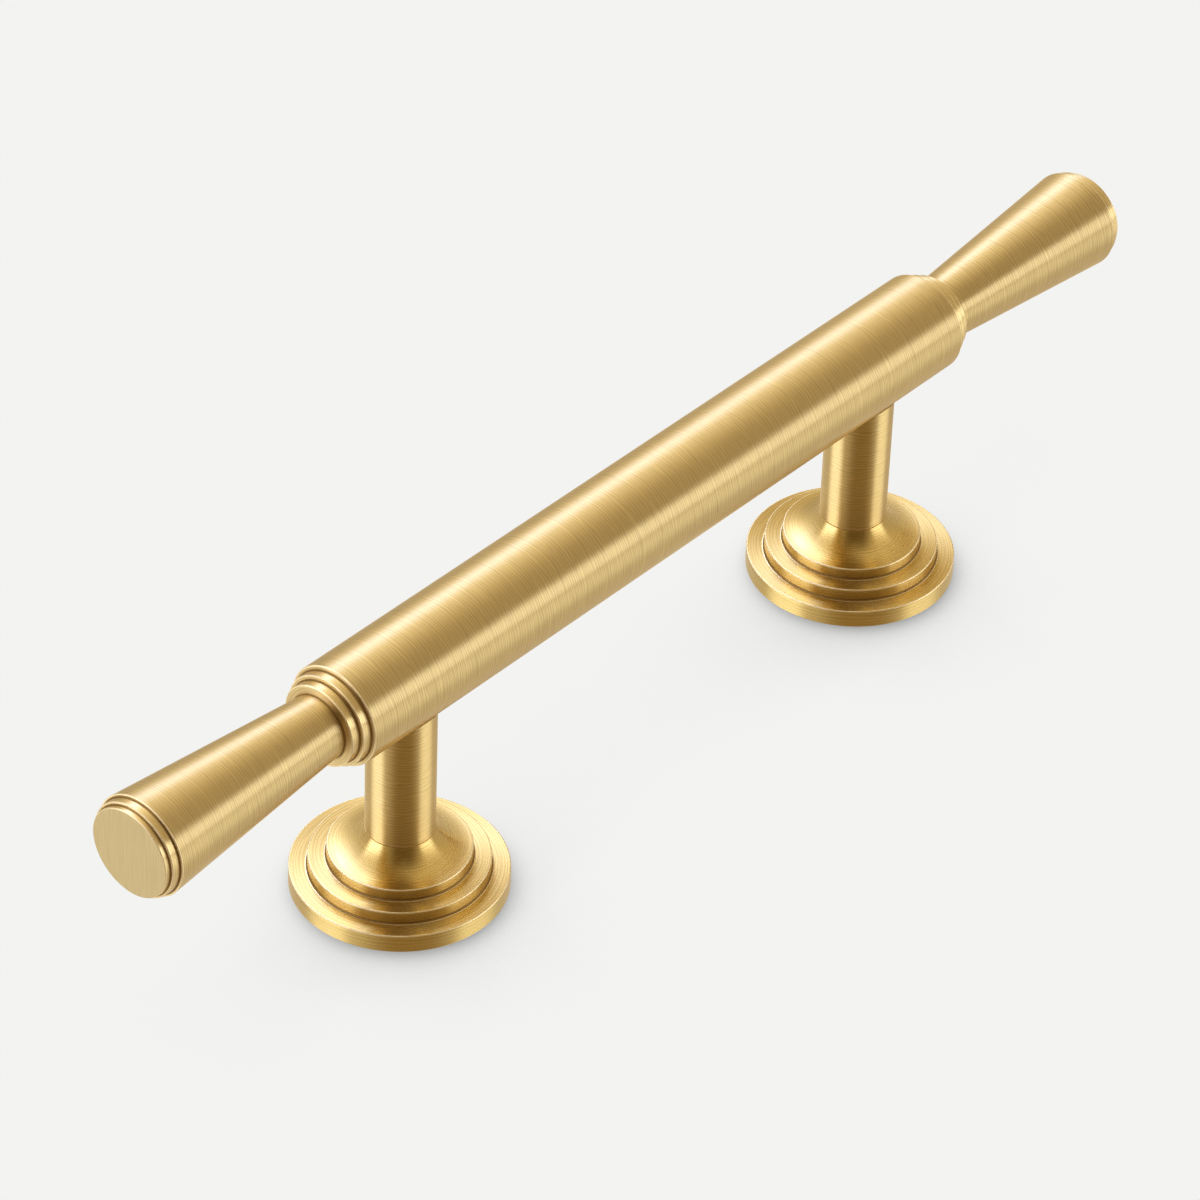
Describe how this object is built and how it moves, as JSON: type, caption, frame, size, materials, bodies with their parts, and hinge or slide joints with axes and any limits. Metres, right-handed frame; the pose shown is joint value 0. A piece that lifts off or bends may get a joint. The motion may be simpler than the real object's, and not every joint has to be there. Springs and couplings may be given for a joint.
{
  "type": "cabinet pull",
  "caption": "Brass bar pull: a turned bar with stepped collars and flared finials on round posts, each on a stepped, coved rosette, for cabinet doors and drawers.",
  "frame": {"origin": "midway between the posts, on the cabinet face that the rosettes stand on", "axes": "+X along the bar, +Z away from the cabinet"},
  "size_m": [0.157, 0.0238, 0.0342],
  "materials": {
    "bar_brass": "satin brass, brushed round the bar",
    "post_brass": "satin brass, brushed round the post",
    "rosette_brass": "satin brass with fine turning rings",
    "stud_steel": "plain threaded steel"
  },
  "bodies": {
    "root": {"bar": "bar_brass", "post_left": "post_brass", "post_right": "post_brass", "rosette_left": "rosette_brass", "rosette_right": "rosette_brass", "joining_studs": "stud_steel"}
  },
  "joints": []
}
